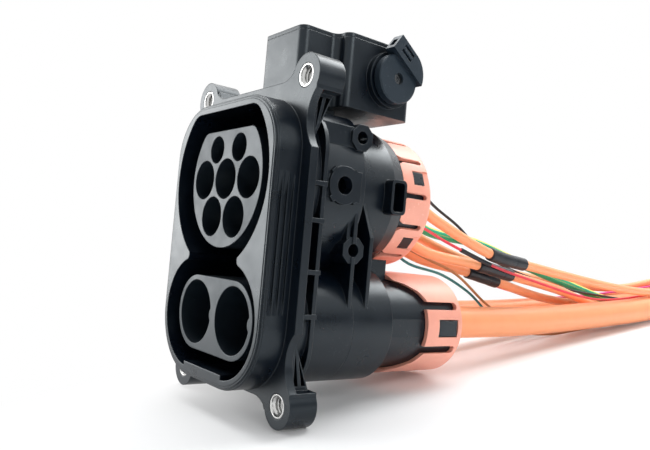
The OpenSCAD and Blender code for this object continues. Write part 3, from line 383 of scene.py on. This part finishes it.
def metal(name, colour, rough, lines=900.0, stretch=(1.0, 30.0, 30.0)):
    """Turned or plated metal: fine lines in bump, tone and gloss, from a noise drawn out along an axis."""
    material, tree, shader = blank_material(name)
    link = tree.links.new
    place = tree.nodes.new("ShaderNodeTexCoord")
    drawn = stretch_node(tree, stretch)
    link(place.outputs["Object"], drawn.inputs["Vector"])
    streaks = noise_node(tree, lines, 2.0, 0.6)
    link(drawn.outputs["Vector"], streaks.inputs["Vector"])
    tone = mix_node(tree, scaled(colour, METAL_TONE_LOW), colour)
    link(streaks.outputs["Fac"], tone.inputs["Factor"])
    link(tone.outputs["Result"], shader.inputs["Base Color"])
    link_gloss(tree, shader, streaks.outputs["Fac"], rough, METAL_GLOSS_DRIFT)
    bump = link_bump(tree, shader, streaks.outputs["Fac"], METAL_BUMP, METAL_LINE_DEPTH)
    soften_edges(tree, bump, METAL_EDGE, METAL_EDGE_SAMPLES)
    shader.inputs["Metallic"].default_value = 1.0
    return material


def striped(tree, place, base, stripe, share, start):
    """Colour of a jacket with stripes along it: the stripe's colour where the fraction of
    stripes in a turn * turn - start is below its share."""
    link = tree.links.new
    turn = tree.nodes.new("ShaderNodeSeparateXYZ")
    link(place.outputs["UV"], turn.inputs["Vector"])
    count = math_node(tree, "MULTIPLY", STRIPES_IN_A_TURN)
    link(turn.outputs["Y"], count.inputs[0])
    shifted = math_node(tree, "ADD", 1.0 - start)
    link(count.outputs["Value"], shifted.inputs[0])
    part = math_node(tree, "FRACT")
    link(shifted.outputs["Value"], part.inputs[0])
    inside = math_node(tree, "LESS_THAN", share)
    link(part.outputs["Value"], inside.inputs[0])
    mixed = mix_node(tree, stripe, stripe)
    link(base, mixed.inputs["A"])
    link(inside.outputs["Value"], mixed.inputs["Factor"])
    return mixed.outputs["Result"]


def jacket(name, colour, stripe=None, stripe_share=0.0, stripe_from=0.0):
    """Extruded lead jacket: die lines along its length in bump and gloss, slow drift of tone, and where
    asked a second colour in stripes. The lead's UV map gives metres along it and the share of a turn."""
    material, tree, shader = blank_material(name)
    link = tree.links.new
    place = tree.nodes.new("ShaderNodeTexCoord")
    drawn = stretch_node(tree, JACKET_STRETCH)
    link(place.outputs["UV"], drawn.inputs["Vector"])
    lines = noise_node(tree, JACKET_LINE_SCALE, 3.0, 0.6)
    link(drawn.outputs["Vector"], lines.inputs["Vector"])
    surface = group_node(tree, GRAIN)
    link(place.outputs["Object"], surface.inputs["Vector"])
    tone = mix_node(tree, scaled(colour, JACKET_TONE_LOW), scaled(colour, JACKET_TONE_HIGH))
    link(surface.outputs["Drift"], tone.inputs["Factor"])
    base = tone.outputs["Result"]
    if stripe is not None:
        base = striped(tree, place, base, stripe, stripe_share, stripe_from)
    link(base, shader.inputs["Base Color"])
    link_gloss(tree, shader, lines.outputs["Fac"], JACKET_ROUGH, JACKET_GLOSS_DRIFT)
    link_bump(tree, shader, lines.outputs["Fac"], JACKET_BUMP, JACKET_LINE_DEPTH)
    shader.inputs["Specular IOR Level"].default_value = JACKET_SPECULAR
    return material


FINISHES = {
    "housing_plastic": plastic(
        "black_housing", (0.0012, 0.0035, 0.008), rough=0.31, drift=0.06, specular=0.46, tint=COOL
    ),
    "contact_plastic": plastic(
        "black_contact_block", (0.006, 0.01, 0.015), rough=0.42, specular=0.44, tint=COOL
    ),
    "tip_plastic": plastic("black_pin_tip", (0.02, 0.023, 0.027), rough=0.5),
    "lever_plastic": plastic(
        "black_lever", (0.012, 0.02, 0.03), rough=0.45, edge=0.3, specular=0.36, tint=COOL
    ),
    "sensor_plastic": plastic("cream_sensor", (0.78, 0.74, 0.62), rough=0.5),
    "gear_plastic": plastic("natural_gear", (0.78, 0.73, 0.6), rough=0.4, edge=0.15),
    "cap_plastic": plastic("salmon_cap", (0.96, 0.385, 0.285), rough=0.42, grain=0.12, edge=0.4),
    "insert_metal": metal("bright_insert", (0.62, 0.62, 0.61), rough=0.24),
    # The screw's dark grey is painted shade: it stands in for the dark recess at the middle of the release
    # disc.
    "screw_steel": metal("dark_screw_painted_shade", (0.2, 0.21, 0.22), rough=0.24),
    "motor_metal": metal("motor_can", (0.55, 0.56, 0.58), rough=0.35),
    "pin_metal": metal("silvered_pin", (0.72, 0.71, 0.69), rough=0.28),
    "seal_rubber": plastic("black_rubber", (0.02, 0.02, 0.022), rough=0.7, grain=0.4, specular=0.3),
    "orange_jacket": jacket("orange_jacket", (0.95, 0.37, 0.17)),
    "earth_jacket": jacket(
        "earth_jacket", (0.02, 0.42, 0.22), stripe=(0.85, 0.72, 0.05), stripe_share=0.22, stripe_from=0.22
    ),
    "sleeve_film": plastic(
        "shrink_sleeve", (0.012, 0.015, 0.02), rough=0.38, grain=0.15, edge=0.2, specular=0.35
    ),
    "black_jacket": jacket("black_jacket", (0.02, 0.022, 0.027)),
    "blue_jacket": jacket("blue_jacket", (0.03, 0.13, 0.5)),
    "red_jacket": jacket("red_jacket", (0.75, 0.05, 0.08)),
    "teal_jacket": jacket("teal_jacket", (0.04, 0.28, 0.3)),
    "brown_jacket": jacket("brown_jacket", (0.45, 0.2, 0.07)),
    "pink_jacket": jacket("pink_jacket", (0.8, 0.06, 0.32)),
}
COPPER = metal("copper_strands", (0.85, 0.42, 0.25), rough=0.3, lines=2500.0, stretch=(1.0, 1.0, 1.0))


def dress_nodes():
    """Gives every solid of the part the finish of its slot."""
    for node, slot in SLOT_OF.items():
        mesh = nodes[node].data
        mesh.materials.clear()
        mesh.materials.append(FINISHES[slot])


# Leads: the part's own routes, in millimetres, from the crimp to the cut end

AC_Z = 20.1
AC_LOW_Z = 6.2
SIGNAL_Z = 31.2
DC_Z = -29.8

THICK_LEAD = {"radius": 7.1, "sides": 36, "exit_y": 90.3, "stiffness": "stiff"}
MIDDLE_LEAD = {"radius": 2.3, "sides": 24, "exit_y": 73.0, "stiffness": "medium", "sleeve_wall": 0.8}
THIN_LEAD = {"radius": 0.65, "sides": 14, "exit_y": 73.0, "stiffness": "limp", "sleeve_wall": 0.4}
LEAD_KINDS = {"dc": THICK_LEAD, "ac": MIDDLE_LEAD, "earth": MIDDLE_LEAD, "wire": THIN_LEAD}

ROUTES = {
    "dc_cable_right": [
        [13.65, 66, DC_Z], [13.65, 100, DC_Z], [14, 150, -29.2], [14, 208, -26.2], [14, 285, -20.4],
        [14, 360, -11.8],
    ],
    "dc_cable_left": [
        [-13.65, 66, DC_Z], [-13.65, 100, DC_Z], [-14, 150, -29.2], [-14, 208, -26.2], [-14, 285, -20.4],
        [-14, 360, -11.8],
    ],
    "ac_cable_l1": [
        [16.1, 56, AC_Z], [16.1, 72, AC_Z], [16.4, 87, 14.2], [16.8, 124, 2.4], [16.6, 151, -1.2],
        [14, 285, -10.8], [14, 356, -2.4],
    ],
    "ac_cable_n": [
        [-16.1, 56, AC_Z], [-16.1, 72, AC_Z], [-16.4, 92, 13.4], [-16.4, 151, -2], [-14, 285, -10.8],
        [-14, 356, -2.4],
    ],
    "ac_cable_l2": [
        [8.05, 56, AC_LOW_Z], [8.05, 72, AC_LOW_Z], [8.4, 90, 0.4], [8.6, 126, -3.4], [8.6, 152, -7.2],
        [7, 196, -13], [3.6, 246, -22], [2.6, 290, -24.6], [2.6, 356, -16.8],
    ],
    "ac_cable_l3": [
        [-8.05, 56, AC_LOW_Z], [-8.05, 74, AC_LOW_Z], [-2, 97, -2.6], [1.6, 127, -7], [1.6, 150, -11],
        [-0.6, 190, -17.6], [-2.6, 245, -22], [-2.6, 290, -24.6], [-2.6, 356, -16.8],
    ],
    "earth_cable": [
        [0, 56, AC_Z], [0, 72, AC_Z], [-1, 100, 10.4], [-1, 134, 7.4], [-1, 160, 2], [-0.6, 204, -7.4],
        [0, 285, -20], [0, 352, -13],
    ],
    "wire_black": [
        [8.05, 56, SIGNAL_Z], [8.05, 74, SIGNAL_Z], [6, 98, 20.6], [6, 113, 14], [5, 130, 4.5],
        [3, 152, -2.4], [3.6, 200, -11.4], [4.4, 245, -15], [4.2, 285, -16.6], [4.2, 330, -12.4],
    ],
    "wire_blue": [
        [-8.05, 56, SIGNAL_Z], [-8.05, 74, SIGNAL_Z], [-4, 104, 18.4], [-5.6, 140, 8.4], [-4.4, 285, -19],
        [-4.4, 325, -15.6],
    ],
    "wire_red": [
        [17, 50, 11.5], [17, 73, 11.5], [13.6, 97, 5.8], [13.2, 108, 2.9], [13.2, 130, -2.7],
        [12.6, 160, -8], [12.6, 225, -16.6], [10.2, 290, -12.4], [10.2, 335, -7.2],
    ],
    "wire_teal": [
        [-3, 50, 2.5], [-3, 74, 2.5], [-3.2, 92, -5.4], [-2.6, 114, -9.4], [0, 130, -16.4],
        [-2, 168, -36], [-6.6, 240, -32.6], [-6.8, 300, -25.2],
    ],
    "wire_brown": [
        [3, 50, 2.5], [3, 78, 2.5], [3.4, 98, -2.8], [3.4, 117, -8.4], [2.4, 144, -23], [0.5, 182, -37.2],
        [6.8, 300, -25.2],
    ],
    "wire_pink": [
        [-17, 50, 11.5], [-17, 73, 11.5], [-12, 130, -6], [-11.6, 205, -18.2], [-10.2, 290, -12.4],
        [-10.2, 335, -7.2],
    ],
}

# Stretch of each lead that carries a shrink sleeve, as its first and last place along Y
SLEEVES = {
    "ac_cable_l1": (124, 151),
    "ac_cable_l2": (126, 152),
    "ac_cable_l3": (127, 150),
    "wire_red": (108, 130),
}
SLEEVE_ROWS = 80
SLEEVE_SIDES = 28
SLEEVE_LIP = 0.2
SLEEVE_TAPER = 0.02
SLEEVE_WAVE = 0.045
SLEEVE_WAVES = 17.0
CREASE_DEPTH = 0.1
CREASE_AT = 0.7
CREASE_WIDTH = 0.02

# Copper that shows at a cut end: depth in the jacket, reach out of it, and shares of the lead's radius
CORE_INSIDE = 1.0
CORE_OUTSIDE = 1.2
CORE_SHARES = (0.62, 0.62, 0.62, 0.58)
CORE_SIDES = 20


def make_core(name, path, radius):
    """Cut end of the conductor: a short rod of copper that stands a little way out of the jacket."""
    along = (path[-1] - path[-2]) / np.linalg.norm(path[-1] - path[-2])
    rod = path[-1] + np.linspace(-CORE_INSIDE, CORE_OUTSIDE, len(CORE_SHARES))[:, None] * along
    points, faces, _ = tube(rod, radius * np.array(CORE_SHARES), CORE_SIDES)
    core = mesh_piece(name + "_core", points * MM, faces, COPPER)
    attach(core, BODY)
    return core


def make_sleeve(name, path, kind, first, last):
    """Shrink sleeve on a lead: a tube on the same line. Its wall starts as a thin lip, grows with the
    square root of the distance from each end, and has a slow wave and one narrow crease."""
    part = path[(path[:, 1] >= first) & (path[:, 1] <= last)]
    share = np.linspace(0.0, 1.0, SLEEVE_ROWS)
    knots = np.linspace(0.0, 1.0, len(part))
    line = np.stack([np.interp(share, knots, part[:, axis]) for axis in range(3)], axis=1)
    taper = np.clip(np.minimum(share, 1 - share) / SLEEVE_TAPER, 0.0, 1.0) ** 0.5
    wave = SLEEVE_WAVE * np.sin(share * SLEEVE_WAVES) * np.sin(share * np.pi)
    crease = CREASE_DEPTH * np.exp(-(((share - CREASE_AT) / CREASE_WIDTH) ** 2))
    wall = kind["sleeve_wall"] * (SLEEVE_LIP + (1 - SLEEVE_LIP) * taper + wave - crease)
    points, faces, uv = tube(line, kind["radius"] + wall, SLEEVE_SIDES)
    sleeve = mesh_piece(name + "_sleeve", points * MM, faces, FINISHES["sleeve_film"], uv)
    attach(sleeve, BODY)
    return sleeve


def make_leads():
    """Makes each lead as a tube on its smoothed route, with its copper end and any sleeve."""
    for name, route in ROUTES.items():
        kind = LEAD_KINDS[name.split("_")[0]]
        radius = kind["radius"]
        path = smooth_route(route)
        points, faces, uv = tube(path, radius, kind["sides"])
        slot = SLOT_OF[name]
        lead = mesh_piece(name + "_lead", points * MM, faces, FINISHES[slot], uv)
        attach(lead, BODY)
        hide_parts(name)
        extra = [make_core(name, path, radius)]
        if name in SLEEVES:
            sleeve = make_sleeve(name, path, kind, *SLEEVES[name])
            extra.append(sleeve)
    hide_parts("cable_sleeves")


# Threaded inserts, in millimetres

INSERT_R = 4.15
INSERT_LENGTH = 10.8
INSERT_CHAMFER = 0.25
INSERT_SIDES = 64
MOUTH_R = 3.5
LIP_R = 3.4
LIP_DEPTH = 0.06
BACK_R = 3.0
BORE_R = 2.5
BORE_FROM = 0.5
BORE_STEP = 0.1
THREAD_PITCH = 1.25
THREAD_DEPTH = 0.85
SINK_DEPTH = 0.62
SINK_END = 1.3
SINK_RUN = 0.8
BOLT_HALF_X = 34.6
BOLT_HALF_Z = 54.7
SHARP_DEGREES = 30.0


def insert_surface():
    """Insert with a screw thread inside: rings run over the outside, the front face and along the bore.
    The bore's radius at depth y and turn t is bore + the larger of thread depth * |saw(y / pitch - t)|, a
    sharp ridge that climbs one pitch in each turn, and a countersink that fades out behind the mouth."""
    turn = np.linspace(0.0, FULL_TURN, INSERT_SIDES, endpoint=False)
    rings = np.array([
        (INSERT_R - INSERT_CHAMFER, INSERT_LENGTH),
        (INSERT_R, INSERT_LENGTH - INSERT_CHAMFER),
        (INSERT_R, INSERT_CHAMFER),
        (INSERT_R - INSERT_CHAMFER, 0.0),
        (MOUTH_R, 0.0),
        (LIP_R, LIP_DEPTH),
    ])
    bore_y = np.arange(BORE_FROM, INSERT_LENGTH, BORE_STEP)[:, None]
    saw = np.abs(2 * ((bore_y / THREAD_PITCH - turn / FULL_TURN) % 1.0) - 1)
    sink = SINK_DEPTH * np.clip((SINK_END - bore_y) / SINK_RUN, 0.0, 1.0)
    bore = BORE_R + np.maximum(THREAD_DEPTH * saw, sink)
    all_round = np.ones(INSERT_SIDES)
    radius = np.vstack([rings[:, :1] * all_round, bore, BACK_R * all_round])
    depth = np.vstack([rings[:, 1:], bore_y, [[INSERT_LENGTH]]]) * all_round
    points = np.stack([radius * np.cos(turn), depth, radius * np.sin(turn)], axis=-1)
    return points.reshape(-1, 3), grid_faces(len(radius), INSERT_SIDES, close_rows=True)


def turn_outwards(piece):
    """Turns every face of a closed piece outwards."""
    work = bmesh.new()
    work.from_mesh(piece.data)
    bmesh.ops.recalc_face_normals(work, faces=work.faces)
    work.to_mesh(piece.data)
    work.free()


def make_inserts():
    """Puts one insert into each corner of the bolt pattern, as one piece."""
    points, faces = insert_surface()
    all_points, all_faces = [], []
    for side_x in (-1, 1):
        for side_z in (-1, 1):
            all_faces.append(faces + len(points) * len(all_points))
            all_points.append(points + [side_x * BOLT_HALF_X, 0.0, side_z * BOLT_HALF_Z])
    points = np.vstack(all_points) * MM
    piece = mesh_piece("threaded_inserts", points, np.vstack(all_faces), FINISHES["insert_metal"])
    turn_outwards(piece)
    piece.data.set_sharp_from_angle(angle=math.radians(SHARP_DEGREES))
    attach(piece, BODY)
    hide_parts("flange_inserts")


# Floor that the inlet leans on: it touches the lower lugs and the thick leads. Millimetres

FLOOR_AT_FRONT = -62.6
FLOOR_FRONT_Y = 5.0
FLOOR_SLOPE = 0.1218
FLOOR_REACH = 6000.0
FLOOR_COLOUR = (0.84, 0.85, 0.86, 1.0)
FLOOR_ROUGH = 0.9
FLOOR_SPECULAR = 0.1

# Where the floor glows white, painted light that also whitens the part's shadow in front of it: distance,
# in metres, from a middle on the floor squeezed along Y
FLOOR_SQUEEZE = (1.0, 0.42, 0.0)
FLOOR_MIDDLE = (0.058, 0.064, 0.0)
FADE_NEAR = 0.05
FADE_FAR = 0.145
# Least share of white glow on the floor: painted light that lightens the part's shadow everywhere
FLOOR_LIFT = 0.03


def seen_rays(tree):
    """1 for rays that show the background: from the camera, in reflections and through clear pieces."""
    light = tree.nodes.new("ShaderNodeLightPath")
    seen = math_node(tree, "MAXIMUM")
    tree.links.new(light.outputs["Is Camera Ray"], seen.inputs[0])
    tree.links.new(light.outputs["Is Glossy Ray"], seen.inputs[1])
    all_seen = math_node(tree, "MAXIMUM")
    tree.links.new(seen.outputs["Value"], all_seen.inputs[0])
    tree.links.new(light.outputs["Is Transmission Ray"], all_seen.inputs[1])
    return all_seen.outputs["Value"]


def floor_white():
    """Pale floor that keeps the part's shadow near it under a faint painted glow, and glows white with the
    distance from it, painted light that also whitens the shadow in front of the part.
    """
    material, tree, shader = blank_material("floor_white")
    link = tree.links.new
    shader.inputs["Base Color"].default_value = FLOOR_COLOUR
    shader.inputs["Roughness"].default_value = FLOOR_ROUGH
    shader.inputs["Specular IOR Level"].default_value = FLOOR_SPECULAR
    place = tree.nodes.new("ShaderNodeTexCoord")
    squeezed = vector_node(tree, "MULTIPLY", FLOOR_SQUEEZE)
    link(place.outputs["Object"], squeezed.inputs[0])
    away = vector_node(tree, "DISTANCE", FLOOR_MIDDLE)
    link(squeezed.outputs["Vector"], away.inputs[0])
    fade = range_node(tree, FADE_NEAR, FADE_FAR, 0.0, 1.0)
    fade.interpolation_type = "SMOOTHSTEP"
    link(away.outputs["Value"], fade.inputs["Value"])
    # Painted light: the least glow is added in the shadow near the part too.
    raised = math_node(tree, "MAXIMUM", FLOOR_LIFT)
    link(fade.outputs["Result"], raised.inputs[0])
    shown = math_node(tree, "MULTIPLY")
    link(raised.outputs["Value"], shown.inputs[0])
    link(seen_rays(tree), shown.inputs[1])
    white = tree.nodes.new("ShaderNodeEmission")
    mixed = tree.nodes.new("ShaderNodeMixShader")
    link(shown.outputs["Value"], mixed.inputs["Fac"])
    link(shader.outputs["BSDF"], mixed.inputs[1])
    link(white.outputs["Emission"], mixed.inputs[2])
    link(mixed.outputs["Shader"], tree.nodes["Material Output"].inputs["Surface"])
    return material


def make_floor():
    """Flat surface z = height at the front + slope * (y - place of the front)."""
    x = np.array([-1.0, 1.0, 1.0, -1.0]) * FLOOR_REACH
    y = np.array([-1.0, -1.0, 1.0, 1.0]) * FLOOR_REACH
    points = np.stack([x, y, FLOOR_AT_FRONT + FLOOR_SLOPE * (y - FLOOR_FRONT_Y)], axis=1)
    floor = mesh_piece("floor", points * MM, [(0, 1, 2, 3)], floor_white(), smooth=False)


# Light: a white room that is dark low on the right in reflections, and four soft lamps

AMBIENT = 0.28
SHADED_LEVEL = 0.05
SHADED_SIDE = (0.84, 0.54, 0.0)
SHADED_TOWARDS = (0.35, 0.85)
SHADED_HEIGHT = (0.12, 0.42)

LAMP_TARGET = (0.0, 30.0, 0.0)
LAMPS = {
    "softbox_front_left": {"place": (-900.0, -700.0, 0.0), "size": 1000.0, "power": 15.8},
    "softbox_top": {"place": (-320.0, 40.0, 900.0), "size": 800.0, "power": 10.8},
    "softbox_back": {"place": (40.0, 720.0, 860.0), "size": 600.0, "power": 8.4},
    "softbox_right": {"place": (900.0, 100.0, 500.0), "size": 500.0, "power": 3.4},
}


def make_world():
    """White to the camera and in reflections, where it is dark low on the right; soft grey light else."""
    world = bpy.data.worlds.new("studio")
    bpy.context.scene.world = world
    world.use_nodes = True
    tree = world.node_tree
    link = tree.links.new
    background = tree.nodes["Background"]
    background.inputs["Color"].default_value = (*PLAIN, 1.0)
    place = tree.nodes.new("ShaderNodeTexCoord")
    towards = vector_node(tree, "DOT_PRODUCT", SHADED_SIDE)
    link(place.outputs["Generated"], towards.inputs[0])
    side = range_node(tree, *SHADED_TOWARDS, 0.0, 1.0)
    link(towards.outputs["Value"], side.inputs["Value"])
    height = tree.nodes.new("ShaderNodeSeparateXYZ")
    link(place.outputs["Generated"], height.inputs["Vector"])
    low = range_node(tree, *SHADED_HEIGHT, 1.0, 0.0)
    link(height.outputs["Z"], low.inputs["Value"])
    corner = math_node(tree, "MULTIPLY")
    link(side.outputs["Result"], corner.inputs[0])
    link(low.outputs["Result"], corner.inputs[1])
    light = tree.nodes.new("ShaderNodeLightPath")
    mirrored = math_node(tree, "MULTIPLY")
    link(corner.outputs["Value"], mirrored.inputs[0])
    link(light.outputs["Is Glossy Ray"], mirrored.inputs[1])
    shade = range_node(tree, 0.0, 1.0, 1.0, SHADED_LEVEL)
    link(mirrored.outputs["Value"], shade.inputs["Value"])
    level = range_node(tree, 0.0, 1.0, AMBIENT, 1.0)
    link(seen_rays(tree), level.inputs["Value"])
    strength = math_node(tree, "MULTIPLY")
    link(level.outputs["Result"], strength.inputs[0])
    link(shade.outputs["Result"], strength.inputs[1])
    link(strength.outputs["Value"], background.inputs["Strength"])


def make_lamps():
    """Square area lamps turned to the part; places and sizes in millimetres, power in watts."""
    for name, row in LAMPS.items():
        data = bpy.data.lights.new(name, "AREA")
        data.shape = "SQUARE"
        data.size = row["size"] * MM
        data.energy = row["power"]
        lamp = bpy.data.objects.new(name, data)
        lamp.location = Vector(row["place"]) * MM
        aim = (Vector(LAMP_TARGET) - Vector(row["place"])).normalized()
        lamp.rotation_euler = aim.to_track_quat("-Z", "Y").to_euler()
        bpy.context.collection.objects.link(lamp)


make_camera()
make_leads()
make_inserts()
dress_nodes()
make_floor()
make_world()
make_lamps()

view = bpy.context.scene.view_settings
view.view_transform = "Standard"
